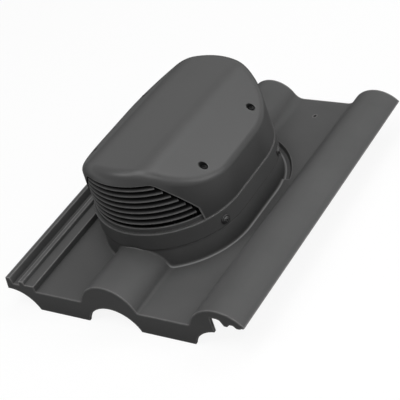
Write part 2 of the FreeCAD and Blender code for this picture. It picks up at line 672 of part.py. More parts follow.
def collar_ring(doc):
    """Band that sits on the collar's shoulder, closed above by a plate with a wide opening
    and four posts that carry the hood."""
    make = Part_maker(doc, "collar_ring")
    band = make.sketch("BandPlan", offset="Sizes.plinth_height")
    make.stadium(band, RING_RADIUS)
    make.pad("Band", band, "Sizes.ring_height")
    hollow = make.sketch("HollowPlan", offset=f"{RING_TOP} - Sizes.plate_thickness")
    make.stadium(hollow, "Sizes.collar_radius - Sizes.shell_wall + Sizes.ring_clearance")
    make.pocket("Hollow", hollow, f"Sizes.ring_height + {OVERRUN}")
    opening = make.sketch("OpeningPlan", offset=RING_TOP)
    make.stadium(opening, "Sizes.plate_opening_radius")
    last = make.pocket("Opening", opening, f"Sizes.plate_thickness + {OVERRUN}")
    make.fillet("Rim", last, make.rim_edges(RING_TOP, RING_RADIUS), "Sizes.ring_edge")
    posts = make.sketch("PostPlan", offset=f"{RING_TOP} - Sizes.plate_thickness / 2")
    bores = make.sketch("BorePlan", offset=f"{RING_TOP} + Sizes.post_height")
    for _, x, y in hood_screw_spots():
        make.circle(posts, x, y, "Sizes.post_radius")
        make.circle(bores, x, y, "Sizes.screw_radius + Sizes.screw_thread_clearance")
    make.pad("Posts", posts, "Sizes.post_height + Sizes.plate_thickness / 2")
    make.pocket("PostHoles", bores, "Sizes.screw_length")
    for name, start, sense, end in RING_SCREWS:
        hole = make.body.newObject("PartDesign::SubtractiveCylinder", f"ScrewHole_{name}")
        hole.setExpression("Radius", "Sizes.screw_radius + Sizes.screw_hole_clearance")
        hole.setExpression("Height", "2 * Sizes.ring_screw_length")
        turn = make.value(ring_screw_turn(start, sense))
        along = Rotation(Vector(0, 0, 1), turn) * Rotation(Vector(0, 1, 0), 90)
        reach = make.value(f"{RING_RADIUS} - Sizes.ring_screw_length")
        out = Rotation(Vector(0, 0, 1), turn).multVec(Vector(reach, 0, 0))
        hole.Placement = Placement(out + Vector(0, end * make.value(HALF_STRAIGHT),
                                                make.value("Sizes.ring_screw_height")), along)
    return make.body


def hood_screw_spots():
    """Name, place across and place along of the four hood screws."""
    return tuple((f"{end_name}_{side_name}", f"{side} * Sizes.post_spread_across / 2",
                  f"{end} * Sizes.post_spread_along / 2")
                 for side_name, side in (("right", 1), ("left", -1))
                 for end_name, end in (("front", -1), ("back", 1)))


def ring_screw_turn(start, sense):
    """Angle of a ring screw from +X, as an expression of the sheet."""
    return f"({start} + {sense} * Sizes.ring_screw_angle)"


def hood_form(make, inset):
    """Plain solid of the hood, or of the space inside it when inset is the wall: an upright
    wall with a slight draft, cut off by a roof that falls towards the sides and the back."""
    fall = ("(Sizes.hood_front_height - Sizes.crown_rise - Sizes.hood_eaves_height)"
            f" / ({EAVES_RADIUS} - Sizes.crown_width / 2)")
    eaves = f"(Sizes.hood_eaves_height - {inset} * sqrt(1 + ({fall})^2))"
    plan = make.sketch("WallPlan")
    make.stadium(plan, f"{HOOD_FOOT_RADIUS} - {inset}")
    make.pad("Wall", plan, f"Sizes.hood_front_height + {OVERRUN}", TaperAngle="-Sizes.hood_draft")
    reach = f"({HALF_STRAIGHT} + {EAVES_RADIUS})"
    sections = []
    for name, end, crown in (("FrontRoof", 1, "Sizes.hood_front_height"),
                             ("BackRoof", -1, "Sizes.hood_back_height")):
        sketch = make.sketch(name, role="XZ_Plane", offset=f"{end} * {reach}")
        roof_outline(make, sketch, eaves, f"({crown} - {inset})")
        sections.append(sketch)
    roof = make.body.newObject("PartDesign::SubtractiveLoft", "RoofCut")
    roof.Profile = sections[0]
    roof.Sections = sections[1:]
    roof.Ruled = True
    knee = make.value("Sizes.crown_width / 2")
    straight = make.value("Sizes.collar_straight")

    def crease(edge):
        middle = edge.valueAt((edge.FirstParameter + edge.LastParameter) / 2)
        return edge.BoundBox.YLength > straight and abs(abs(middle.x) - knee) < 0.5

    def rim(edge):
        box = edge.BoundBox
        inward = box.YLength > 2 * straight and abs(box.Center.x) < 1.5 * knee
        return box.ZMin > make.value(eaves) / 2 and not inward

    blend = make.fillet("CrownBlend", roof, crease, f"Sizes.crown_blend - {inset}")
    return make.fillet("TopEdge", blend, rim, f"Sizes.hood_edge - {inset}")


def roof_outline(make, sketch, eaves, crown):
    """Everything above the roof: a slightly arched middle and a straight fall to each side."""
    half = "Sizes.crown_width / 2"
    knee = f"({crown} - Sizes.crown_rise)"
    edge = f"({EAVES_RADIUS} + {OVERRUN})"
    low = f"({eaves} - {OVERRUN} * ({knee} - {eaves}) / ({EAVES_RADIUS} - {half}))"
    high = f"(Sizes.hood_front_height + 2 * {OVERRUN})"
    arch_radius = f"(({half})^2 + Sizes.crown_rise^2) / (2 * Sizes.crown_rise)"
    make.outline(sketch, [
        (f"-{edge}", low),
        (f"-{half}", knee),
        (half, knee, arch_radius),
        (edge, low),
        (edge, high),
        (f"-{edge}", high),
    ])


def hood(doc):
    """Rain hood: a shell open below and at the front, with four bosses for its screws."""
    core = Part_maker(doc, "hood_space", None)
    hood_form(core, "Sizes.hood_wall")
    bosses = core.sketch("BossPlan", offset="Sizes.post_height + Sizes.post_gap")
    for _, x, y in hood_screw_spots():
        core.circle(bosses, x, y, "Sizes.boss_radius")
    core.pocket("Bosses", bosses, "Sizes.hood_front_height", Reversed=True)

    make = Part_maker(doc, "hood", f"Sizes.skirt_depth + {RING_TOP}")
    hood_form(make, "0")
    doc.recompute()
    boolean = make.body.newObject("PartDesign::Boolean", "Hollow")
    boolean.Type = "Cut"
    boolean.setObjects([core.body])
    doc.recompute()
    mouth = make.sketch("MouthPlan", role="XZ_Plane")
    half = {name: f"Sizes.mouth_{name}_width / 2" for name in ("top", "shoulder", "hip", "foot")}
    shoulder = "Sizes.mouth_height - Sizes.mouth_shoulder_drop"
    make.outline(mouth, [
        (f"-{half['foot']}", f"-{OVERRUN}"),
        (f"-{half['hip']}", "Sizes.mouth_hip_height"),
        (f"-{half['shoulder']}", shoulder, "Sizes.mouth_side_radius"),
        (f"-{half['top']}", "Sizes.mouth_height", "Sizes.mouth_corner_radius"),
        (half["top"], "Sizes.mouth_height"),
        (half["shoulder"], shoulder, "Sizes.mouth_corner_radius"),
        (half["hip"], "Sizes.mouth_hip_height", "Sizes.mouth_side_radius"),
        (half["foot"], f"-{OVERRUN}"),
    ])
    make.pocket("Mouth", mouth, f"{RING_RADIUS} + {HALF_STRAIGHT}", Reversed=True)
    recesses = make.sketch("RecessPlan", offset="Sizes.hood_seat_height")
    holes = make.sketch("HolePlan", offset="Sizes.post_height")
    for _, x, y in hood_screw_spots():
        make.circle(recesses, x, y, "Sizes.hood_recess_radius")
        make.circle(holes, x, y, "Sizes.screw_radius + Sizes.screw_hole_clearance")
    make.pocket("Recesses", recesses, "Sizes.hood_front_height", Reversed=True)
    make.pocket("ScrewHoles", holes, "Sizes.hood_front_height", Reversed=True)
    return make.body


def louvre_grille(doc):
    """Curved blades one above the other on inner posts, with a foot strip on the ring."""
    make = Part_maker(doc, "louvre_grille", f"Sizes.skirt_depth + {RING_TOP}")
    make.body.setExpression("Placement.Base.y", f"Sizes.collar_offset - {HALF_STRAIGHT}")
    outer = f"({RING_RADIUS} - Sizes.grille_inset)"
    inner = f"({outer} - Sizes.blade_depth)"
    foot_inner = f"({outer} - Sizes.grille_foot_depth)"
    wall = "Sizes.grille_wall"
    foot = make.sketch("FootSection", role="YZ_Plane")
    make.outline(foot, [
        (f"-{outer}", "0"), (f"-{outer}", "Sizes.grille_foot_height"),
        (f"-{outer} + {wall}", "Sizes.grille_foot_height"), (f"-{outer} + {wall}", wall),
        (f"-{foot_inner}", wall), (f"-{foot_inner}", "0"),
    ])
    foot_reach = reach_angle(make, "Sizes.grille_foot_height", "Sizes.grille_foot_gap", outer)
    make.revolve("Foot", foot, Angle=2 * foot_reach, Midplane=True)

    count = int(make.value("Sizes.blade_count"))
    pitch = (f"(Sizes.mouth_height - Sizes.blade_top_gap - Sizes.blade_first) / {count - 1}")
    blades = []
    for k in range(count):
        level = f"(Sizes.blade_first + {k} * {pitch})"
        sketch = make.sketch(f"BladeSection_{k + 1}", role="YZ_Plane")
        blade_outline(make, sketch, level, outer, inner)
        reach = reach_angle(make, level, "Sizes.blade_end_gap", outer)
        blades.append((f"Blade_{k + 1}", sketch, level, reach))
    step = math.degrees(make.value(f"Sizes.grille_post_spacing / {outer}"))
    half_post = math.degrees(make.value(f"Sizes.grille_post_width / 2 / {inner}"))
    side = int((blades[0][3] - half_post) / step)
    for k in range(-side, side + 1):
        top = [f"{level} + Sizes.blade_fall" for _, _, level, reach in blades
               if reach > abs(k) * step + half_post][-1]
        post = make.sketch(f"PostPlan_{k + side + 1}")
        post_outline(make, post, k * step, make.value(inner))
        make.pad(f"Post_{k + side + 1}", post, top)
    for name, sketch, _, reach in blades:
        make.revolve(name, sketch, Angle=2 * reach, Midplane=True)
    return make.body


def blade_outline(make, sketch, level, outer, inner):
    """Slanted section of a blade whose outer edge is round."""
    half, fall = "Sizes.blade_thickness / 2", "Sizes.blade_fall"
    make.outline(sketch, [
        (f"-{outer} + {half}", f"{level} - {half}"),
        (f"-{outer} + {half}", f"{level} + {half}", f"{half} * 1.01"),
        (f"-{inner}", f"{level} + {fall} + {half}"),
        (f"-{inner}", f"{level} + {fall} - {half}"),
    ])


def mouth_half_width(make, level):
    """Half width of the hood's front opening at a level above the ring."""
    foot, hip, shoulder = (make.value(f"Sizes.mouth_{name}_width / 2")
                           for name in ("foot", "hip", "shoulder"))
    hip_level = make.value("Sizes.mouth_hip_height")
    if level < hip_level:
        return foot + level / hip_level * (hip - foot)
    rise = make.value("Sizes.mouth_height - Sizes.mouth_shoulder_drop") - hip_level
    share = min(1, (level - hip_level) / rise)
    chord = math.hypot(rise, hip - shoulder)
    side = make.value("Sizes.mouth_side_radius")
    bulge = (side - math.sqrt(side * side - chord * chord / 4)) * chord / rise
    return hip + share * (shoulder - hip) + 4 * share * (1 - share) * bulge


def reach_angle(make, level, gap, radius):
    """Angle from the middle to the end of a strip that stops short of the opening's side."""
    half = mouth_half_width(make, make.value(level)) - make.value(gap)
    return math.degrees(math.asin(half / make.value(radius)))


def post_outline(make, sketch, turn, inner):
    """Square post behind the blades, turned about the grille's axis."""
    lap = make.value("Sizes.blade_thickness / 2")
    near, far = inner + lap - make.value("Sizes.grille_post_depth"), inner + lap
    half = make.value("Sizes.grille_post_width / 2")
    a = math.radians(turn - 90)
    along, across = Vector(math.cos(a), math.sin(a), 0), Vector(-math.sin(a), math.cos(a), 0)
    corners = [along * near - across * half, along * far - across * half,
               along * far + across * half, along * near + across * half]
    make.outline(sketch, [(f"{c.x:.6f}", f"{c.y:.6f}") for c in corners])


def duct_spigot(doc):
    """Round pipe that hangs by its flange in the deck's opening, for the duct hose below."""
    make = Part_maker(doc, "duct_spigot", "0")
    outer = "Sizes.spigot_radius"
    inner = f"({outer} - Sizes.spigot_wall)"
    seat = "(Sizes.skirt_depth + Sizes.deck_height + Sizes.seal_thickness)"
    stop = "(Sizes.skirt_depth + Sizes.deck_height - Sizes.shell_wall - Sizes.spigot_stop)"
    section = make.sketch("Section", role="XZ_Plane")
    make.outline(section, [
        (inner, "Sizes.spigot_lift"), (f"{outer} - 1", "Sizes.spigot_lift"),
        (outer, "Sizes.spigot_lift + 2"), (outer, stop),
        (f"{outer} + Sizes.spigot_shoulder", stop), (f"{outer} + Sizes.spigot_shoulder", seat),
        (f"{outer} + Sizes.spigot_flange", seat),
        (f"{outer} + Sizes.spigot_flange", f"{seat} + Sizes.spigot_wall"),
        (inner, f"{seat} + Sizes.spigot_wall"),
    ])
    make.revolve("Pipe", section, Angle=360.0)
    return make.body


def duct_seal(doc):
    """Flat ring between the spigot's flange and the deck."""
    make = Part_maker(doc, "duct_seal", "Sizes.skirt_depth + Sizes.deck_height")
    plan = make.sketch("Plan")
    make.circle(plan, "0", "0",
                "Sizes.spigot_radius + Sizes.spigot_shoulder + Sizes.spigot_clearance")
    make.circle(plan, "0", "0", "Sizes.spigot_radius + Sizes.spigot_flange - Sizes.seal_margin")
    make.pad("Ring", plan, "Sizes.seal_thickness")
    return make.body


def screw(doc, label, head_radius, head_height, flange_radius, flange, length):
    """Pan-head screw along +Z with its seat at the origin."""
    make = Part_maker(doc, label, "0")
    corners = [("0", f"-{length}"), ("Sizes.screw_radius - 1", f"-{length}"),
               ("Sizes.screw_radius", f"-{length} + 2"), ("Sizes.screw_radius", "0")]
    if flange_radius is not None:
        corners += [(flange_radius, "0"), (flange_radius, flange)]
    base = flange if flange_radius is not None else "0"
    corners += [(head_radius, base), (head_radius, f"{head_height} * 0.45 + {base} * 0.55"),
                (f"{head_radius} * 0.6", head_height), ("0", head_height)]
    section = make.sketch("Section", role="XZ_Plane")
    make.outline(section, corners)
    make.revolve("Turned", section, Angle=360.0)
    socket = make.sketch("SocketPlan", offset=head_height)
    make.circle(socket, "0", "0", "Sizes.drive_radius")
    make.pocket("Socket", socket, "Sizes.drive_depth")
    return make.body


def hood_screws(doc):
    bodies = []
    for name, x, y in hood_screw_spots():
        body = screw(doc, f"hood_screw_{name}", "Sizes.screw_head_radius",
                     "Sizes.screw_head_height", None, None, "Sizes.screw_length")
        body.setExpression("Placement.Base.x", f"{COLLAR_X} + {x}")
        body.setExpression("Placement.Base.y", f"Sizes.collar_offset + {y}")
        body.setExpression("Placement.Base.z",
                           f"Sizes.skirt_depth + {RING_TOP} + Sizes.hood_seat_height")
        bodies.append(body)
    return bodies


def ring_screws(doc):
    bodies = []
    for name, start, sense, end in RING_SCREWS:
        angle = ring_screw_turn(start, sense)
        body = screw(doc, f"ring_screw_{name}", "Sizes.ring_screw_head_radius",
                     "Sizes.ring_screw_head_height", "Sizes.ring_screw_flange_radius",
                     "Sizes.ring_screw_flange", "Sizes.ring_screw_length")
        body.setExpression("Placement.Base.x", f"{COLLAR_X} + {RING_RADIUS} * cos({angle} * 1deg)")
        body.setExpression("Placement.Base.y", f"Sizes.collar_offset + {end} * {HALF_STRAIGHT}"
                                               f" + {RING_RADIUS} * sin({angle} * 1deg)")
        body.setExpression("Placement.Base.z", "Sizes.skirt_depth + Sizes.ring_screw_height")
        turn = Rotation(Vector(0, 0, 1), float(doc.Sizes.evalExpression(angle)))
        body.Placement = Placement(body.Placement.Base, turn * Rotation(Vector(0, 1, 0), 90))
        bodies.append(body)
    return bodies


def main():
    doc = FreeCAD.newDocument("RoofTileVent")
    make_sheet(doc)
    nodes = [tile_base(doc), collar_ring(doc), louvre_grille(doc), hood(doc), duct_spigot(doc),
             duct_seal(doc)]
    nodes += ring_screws(doc) + hood_screws(doc)
    doc.recompute()
    write(doc, nodes)


def write(doc, nodes):
    """Check every object, then write one STEP file per piece."""
    failed = [o.Label for o in doc.Objects if "Invalid" in o.State or "Error" in o.State]
    if failed:
        raise RuntimeError(f"failed objects: {failed}")
    for node in nodes:
        if node.Shape.isNull() or not node.Shape.isValid():
            raise RuntimeError(f"{node.Label} has no valid shape")
    os.makedirs("parts", exist_ok=True)
    for node in nodes:
        node.Shape.exportStep(f"parts/{node.Label}.step")
        box = node.Shape.BoundBox
        print(f"{node.Label}: {len(node.Shape.Solids)} solid, {node.Shape.Volume / 1000:.1f} cm3, "
              f"x {box.XMin:.1f}..{box.XMax:.1f} y {box.YMin:.1f}..{box.YMax:.1f} "
              f"z {box.ZMin:.1f}..{box.ZMax:.1f}")


main()
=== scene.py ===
# %% [markdown]
# # A roof tile vent in matte anthracite plastic
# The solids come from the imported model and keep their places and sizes. This script gives them
# their finish, cuts the screws in detail, and sets up a studio that looks like the photograph.
# All lengths are metres. The tile lies flat, its nose points to -Y and +Z is up.

# %% Load the fixed frame
import math

import bpy
import numpy as np
from mathutils import Matrix, Vector


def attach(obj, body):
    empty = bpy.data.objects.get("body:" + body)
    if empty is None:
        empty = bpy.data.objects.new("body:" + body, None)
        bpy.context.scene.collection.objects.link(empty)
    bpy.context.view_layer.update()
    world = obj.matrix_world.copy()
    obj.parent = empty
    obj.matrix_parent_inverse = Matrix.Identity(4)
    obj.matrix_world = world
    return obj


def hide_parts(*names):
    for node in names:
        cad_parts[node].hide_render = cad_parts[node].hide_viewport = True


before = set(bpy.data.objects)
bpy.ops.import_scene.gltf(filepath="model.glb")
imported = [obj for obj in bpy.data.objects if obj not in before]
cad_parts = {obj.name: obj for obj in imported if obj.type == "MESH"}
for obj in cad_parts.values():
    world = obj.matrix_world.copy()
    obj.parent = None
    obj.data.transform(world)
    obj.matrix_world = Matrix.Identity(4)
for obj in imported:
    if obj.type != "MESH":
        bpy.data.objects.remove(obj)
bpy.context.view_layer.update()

# %% [markdown]
# ## Camera
# The camera stands where the photograph was taken from: in front, to the right and above, and a
# little tilted round its own axis. Its place was worked out from points of the tile whose real
# position is known, by matching where each one falls in the picture. The lens is long, so the
# lines of the tile hardly converge.

# %% Place the camera
EYE = Vector((0.9101, -1.0419, 1.0239))
AHEAD = Vector((-0.5399, 0.6060, -0.5842)).normalized()
RIGHT = Vector((0.8317, 0.4908, -0.2595))
SENSOR_MM = 36.0
FRAME_PIXELS = 400
FOCAL_PIXELS = 1381.92


def look(name, eye, ahead, right):
    """Camera whose view axis is ahead, with right made square to it."""
    camera = bpy.data.cameras.new(name)
    camera.sensor_width = SENSOR_MM
    camera.lens = SENSOR_MM * FOCAL_PIXELS / FRAME_PIXELS
    square = (right - ahead * right.dot(ahead)).normalized()
    up = square.cross(ahead)
    turned = Matrix((square, up, -ahead)).transposed().to_4x4()
    item = bpy.data.objects.new(name, camera)
    item.matrix_world = Matrix.Translation(eye) @ turned
    bpy.context.scene.collection.objects.link(item)
    return item


bpy.context.scene.camera = look("photo_camera", EYE, AHEAD, RIGHT)
print("lens:", round(bpy.context.scene.camera.data.lens, 1), "mm")

# %% [markdown]
# ## Studio
# The photograph has a white ground and soft light from above that favours the right-hand side.
# Large square lamps give soft light: the larger the lamp, the softer the edge of its shadow. One
# smaller lamp puts the highlight on the lip above the grille. A lamp's power spreads over its
# area, so each one is set by how brightly it lights the tile. Their strengths add up to about pi
# on level ground, where a colour shows as it is written.

# %% Lamps
MIDDLE = Vector((0.0, 0.0, 0.06))
LAMP_DISTANCE = 2.4
LAMPS = (
    # name, degrees above the ground, degrees round from +X, side, brightness at the tile
    ("lamp_top", 90, 0, 1.0, 0.54),
    ("lamp_highlight", 48, 241, 0.5, 0.45),
    ("lamp_front_left", 70, 258, 1.0, 0.40),
    ("lamp_front_right", 65, 300, 1.0, 0.45),
    ("lamp_right_front", 40, 325, 1.0, 0.50),
    ("lamp_right_back", 40, 45, 1.0, 0.48),
    ("lamp_low_right", 15, 10, 1.0, 0.78),
    ("lamp_back", 60, 72, 1.0, 0.50),
)


def softbox(name, height, turn, side, brightness):
    """Square lamp that faces the tile; power = brightness * pi * distance squared."""
    lamp = bpy.data.lights.new(name, "AREA")
    lamp.size = side
    lamp.energy = brightness * math.pi * LAMP_DISTANCE ** 2
    item = bpy.data.objects.new(name, lamp)
    up, around = math.radians(height), math.radians(turn)
    toward = Vector((math.cos(up) * math.cos(around), math.cos(up) * math.sin(around), math.sin(up)))
    item.location = MIDDLE + toward * LAMP_DISTANCE
    item.rotation_euler = toward.to_track_quat("Z", "Y").to_euler()
    bpy.context.scene.collection.objects.link(item)
    return item


for lamp_values in LAMPS:
    print("lamp:", softbox(*lamp_values).name)

# %% [markdown]
# ## Measure the collar
# Some painted highlights and painted shade follow the collar and its screws. Their places are read
# from the solids. The ring's outline is two half circles joined by straight sides, so its box gives
# the axis, the radius of the ends and the length of the sides.

# %% Measure the collar


def solid_points(name):
    """Vertices of a solid as rows of x, y, z."""
    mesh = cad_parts[name].data
    points = np.empty(len(mesh.vertices) * 3, np.float32)
    mesh.vertices.foreach_get("co", points)
    return points.reshape(-1, 3)


def solid_box(name):
    """Lowest and highest corner of a solid."""
    points = solid_points(name)
    return [Vector(corner.tolist()) for corner in (points.min(0), points.max(0))]


ring_low, ring_high = solid_box("collar_ring")
COLLAR_AXIS = Vector(((ring_low.x + ring_high.x) / 2, (ring_low.y + ring_high.y) / 2, 0.0))
RING_RADIUS = (ring_high.x - ring_low.x) / 2
HALF_STRAIGHT = (ring_high.y - ring_low.y) / 2 - RING_RADIUS
BAND_FOOT = ring_low.z
screw_low, screw_high = solid_box("hood_screw_front_right")
SCREW_ACROSS, SCREW_ALONG, _ = (abs(x) for x in (screw_low + screw_high) / 2 - COLLAR_AXIS)
print("collar axis:", [round(x, 4) for x in COLLAR_AXIS], "radius:", round(RING_RADIUS, 4),
      "half straight:", round(HALF_STRAIGHT, 4), "band's foot:", round(BAND_FOOT, 4))
print("hood screws from the axis:", round(SCREW_ACROSS, 4), round(SCREW_ALONG, 4))

# %% [markdown]
# ## Node helpers
# Every finish below is a small tree of shader nodes. These helpers keep the code short: they add
# a node and fill its sockets, do sums, and start an empty shared tree. A socket takes either a
# number or the output of another node.

# %% Node helpers


def add_node(tree, kind, inputs=None, **settings):
    """New node with its settings and its sockets; a socket value may be another node's output."""
    node = tree.nodes.new(kind)
    for key, value in settings.items():
        setattr(node, key, value)
    for key, value in (inputs or {}).items():
        socket = node.inputs[key]
        if isinstance(value, bpy.types.NodeSocket):
            tree.links.new(value, socket)
        else:
            socket.default_value = value
    return node


def math_node(tree, operation, first, second=0.0, clamp=False):
    """Output of first (operation) second."""
    return add_node(tree, "ShaderNodeMath", {0: first, 1: second}, operation=operation,
                    use_clamp=clamp).outputs[0]


def remap(tree, value, start, end, low=0.0, high=1.0, **settings):
    """Output that goes from low to high while value goes from start to end, and stops there."""
    return add_node(tree, "ShaderNodeMapRange", {
        "Value": value, "From Min": start, "From Max": end, "To Min": low, "To Max": high},
        **settings).outputs[0]


def mix_colour(tree, share, low, high, blend="MIX"):
    """Output colour that goes from low to high with share."""
    return add_node(tree, "ShaderNodeMix", {0: share, 6: low, 7: high}, data_type="RGBA",
                    blend_type=blend).outputs[2]


def noise(tree, scale, detail, **inputs):
    """Noise pattern in the piece's own place, so that it stays on the piece."""
    place = add_node(tree, "ShaderNodeTexCoord").outputs["Object"]
    return add_node(tree, "ShaderNodeTexNoise", {
        "Vector": place, "Scale": scale, "Detail": detail, **inputs}).outputs[0]


def new_group(name, inputs, outputs):
    """Empty shader group with number inputs (name, default) and outputs (name, kind)."""
    group = bpy.data.node_groups.new(name, "ShaderNodeTree")
    for label, default in inputs:
        socket = group.interface.new_socket(label, in_out="INPUT", socket_type="NodeSocketFloat")
        socket.default_value = default
    for label, kind in outputs:
        group.interface.new_socket(label, in_out="OUTPUT", socket_type=kind)
    return group, group.nodes.new("NodeGroupInput"), group.nodes.new("NodeGroupOutput")


def grey(level, warmth=0.0):
    """Colour of a linear grey level; warmth above nought tips it from blue to red."""
    return (level * (1 + warmth), level, level * (1 - warmth), 1.0)


# %% [markdown]
# ## Grain of the mould
# The mould of such a tile is spark eroded, which leaves a fine even grain on every face. Seen
# close, it is a field of small bumps about half a millimetre across, and the melt that fills the
# mould leaves broad, faint clouds in gloss and tone. Two noise patterns at very different scales
# make these.

# %% Grain group
grain_group, grain_in, grain_out = new_group(
    "mould_grain", [("Grains per metre", 1900.0), ("Clouds per metre", 14.0)],
    [("Height", "NodeSocketFloat"), ("Clouds", "NodeSocketFloat")])
fine = noise(grain_group, grain_in.outputs["Grains per metre"], 2.0, Roughness=0.6)
broad = noise(grain_group, grain_in.outputs["Clouds per metre"], 4.0, Roughness=0.55)
grain_group.links.new(fine, grain_out.inputs["Height"])
grain_group.links.new(broad, grain_out.inputs["Clouds"])
print("group:", grain_group.name)

# %% [markdown]
# ## Rounded and rubbed edges, with painted highlight
# No moulded edge is truly sharp. The Bevel node looks round each point for nearby faces and gives
# a normal that turns smoothly over the edge. Handling polishes such an edge pale, which draws the
# thin bright lines that the photograph shows along the rims. That pale colour is partly real wear
# and partly painted highlight, for the light that a rounded rim catches. The mask for them comes
# from Ambient Occlusion turned inside out: it sends short rays into the material, and close to an
# edge some of them soon meet the next face. wear and highlight = gain * (1 - open share of those
# rays), broken up a bit.

# %% Edge group
EDGE_GAIN = 2.8
EDGE_DEPTH = 2.0  # length of the inward rays, in edge radii
edge_group, edge_in, edge_out = new_group(
    "edge_wear_and_highlight", [("Radius", 0.0008), ("Break-up per metre", 160.0)],
    [("Normal", "NodeSocketVector"), ("Wear and highlight", "NodeSocketFloat")])
edge_radius = edge_in.outputs["Radius"]
soft_normal = add_node(edge_group, "ShaderNodeBevel", {"Radius": edge_radius}, samples=6).outputs[0]
open_inside = add_node(edge_group, "ShaderNodeAmbientOcclusion", {
    "Distance": math_node(edge_group, "MULTIPLY", edge_radius, EDGE_DEPTH)},
    inside=True, only_local=True, samples=8).outputs["AO"]
closed_inside = math_node(edge_group, "SUBTRACT", 1.0, open_inside)
# painted highlight: this mask pales convex edges, partly as real wear and partly for the light that
# rounded rims catch
near_edge = math_node(edge_group, "MULTIPLY", closed_inside, EDGE_GAIN, clamp=True)
edge_break_up = noise(edge_group, edge_in.outputs["Break-up per metre"], 3.0)
patchy = remap(edge_group, edge_break_up, 0.35, 0.65, low=0.6)
edge_group.links.new(soft_normal, edge_out.inputs["Normal"])
edge_group.links.new(math_node(edge_group, "MULTIPLY", near_edge, patchy), edge_out.inputs["Wear and highlight"])
print("group:", edge_group.name)

# %% [markdown]
# ## Painted shade in the hollows
# Where two faces meet, a dark colour is painted in as shade. Ambient Occlusion is high on open
# ground and low in a corner, so the mask goes from 0 to 1 as it falls, cut by a noise pattern.

# %% Grime group
painted_shade_group, painted_shade_in, painted_shade_out = new_group(
    "hollow_painted_shade", [("Reach", 0.006), ("Specks per metre", 420.0)], [("Painted shade", "NodeSocketFloat")])
open_sky = add_node(painted_shade_group, "ShaderNodeAmbientOcclusion", {"Distance": painted_shade_in.outputs["Reach"]},
                    samples=4).outputs["AO"]
# painted shade: darkens corners and creases where nearby faces block the open sky
sheltered = remap(painted_shade_group, open_sky, 0.95, 0.3)
specks = noise(painted_shade_group, painted_shade_in.outputs["Specks per metre"], 4.0)
uneven = remap(painted_shade_group, specks, 0.3, 0.5, low=0.7)
painted_shade_group.links.new(math_node(painted_shade_group, "MULTIPLY", sheltered, uneven, clamp=True),
                      painted_shade_out.inputs["Painted shade"])
print("group:", painted_shade_group.name)

# %% [markdown]
# ## Painted light and shade that follow the collar
# The collar and the hood's screws lie evenly about one upright axis, so distances to them need
# only the absolute values of x and y from it. A mark is a band round such a line, painted in as
# light or shade: a pale painted highlight along the foot of the collar, painted shade that makes
# the seam below the ring's band and the screws' recesses black, and painted shade that darkens
# the blades towards their inner edge.
#
# reach = length of (max(|x - cx| - across, least), max(|y - cy| - along, least))
#
# share = (half width - |reach - middle|) / softness, held between 0 and 1. It fades out up to a
# level, and towards a line on the left, where the foot lies in shade.

# %% Mark group
LEVEL_SPREAD = 8.0  # height of the fade below the level, in softnesses
LEFT_FADE = 0.04
mark_group, mark_in, mark_out = new_group(
    "collar_painted_light_and_shade", [("Across", 0.0), ("Along", 0.0), ("Least", 0.0), ("Middle", 0.0),
                    ("Half width", 0.001), ("Softness", 0.001), ("Level", 1.0), ("Left", -1.0)],
    [("Share", "NodeSocketFloat")])
from_axis = add_node(mark_group, "ShaderNodeVectorMath", {
    0: add_node(mark_group, "ShaderNodeTexCoord").outputs["Object"], 1: COLLAR_AXIS},
    operation="SUBTRACT").outputs[0]
x, y, z = add_node(mark_group, "ShaderNodeSeparateXYZ", {0: from_axis}).outputs
squares = []
for value, start in ((x, "Across"), (y, "Along")):
    beyond = math_node(mark_group, "SUBTRACT", math_node(mark_group, "ABSOLUTE", value),
                       mark_in.outputs[start])
    beyond = math_node(mark_group, "MAXIMUM", beyond, mark_in.outputs["Least"])
    squares.append(math_node(mark_group, "MULTIPLY", beyond, beyond))
reach = math_node(mark_group, "SQRT", math_node(mark_group, "ADD", *squares))
off_line = math_node(mark_group, "ABSOLUTE",
                     math_node(mark_group, "SUBTRACT", reach, mark_in.outputs["Middle"]))
softness = mark_in.outputs["Softness"]
share = math_node(mark_group, "SUBTRACT", mark_in.outputs["Half width"], off_line)
share = math_node(mark_group, "DIVIDE", share, softness, clamp=True)
below = math_node(mark_group, "SUBTRACT", mark_in.outputs["Level"], z)
below = math_node(mark_group, "DIVIDE", below,
                  math_node(mark_group, "MULTIPLY", softness, LEVEL_SPREAD), clamp=True)
right_of = math_node(mark_group, "SUBTRACT", x, mark_in.outputs["Left"])
right_of = math_node(mark_group, "DIVIDE", right_of, LEFT_FADE, clamp=True)
share = math_node(mark_group, "MULTIPLY", share, math_node(mark_group, "MULTIPLY", below, right_of))
mark_group.links.new(share, mark_out.inputs["Share"])
print("group:", mark_group.name)

# %% [markdown]
# ## Plastic
# The tile, hood, ring, grille and spigot are one polypropylene, dyed anthracite right through,
# with a dull skin. Its colour is nearly neutral. The four groups above feed colour, roughness and
# the normal, and everything that is the same all over is set on the shader itself. Through the
# colour they paint highlights along rims and at the collar's foot, and shade in hollows, seams,
# recesses and between the blades. Seen at a grazing angle the skin is duller still, or every rim
# would mirror the white surroundings.

# %% Plastic material
GRAIN_DEPTH = 0.00003
CLOUD_DEPTH = 0.06
# pale edge colour: partly real wear, partly painted highlight on rounded rims
WEAR_AND_HIGHLIGHT_LEVEL, WEAR_AND_HIGHLIGHT_WARMTH = 0.26, 0.01
PAINTED_SHADE_LEVEL = 0.02
MARK_STRENGTH = 0.95
AROUND = {"Along": HALF_STRAIGHT}
# painted highlight: a pale line along the collar's rounded foot, where it catches the light; it fades
# towards the left, where the foot lies in shade
FOOT_HIGHLIGHT = {**AROUND, "Middle": RING_RADIUS + 0.0010, "Half width": 0.0014, "Softness": 0.0008,
             "Level": BAND_FOOT - 0.018, "Left": -0.055}
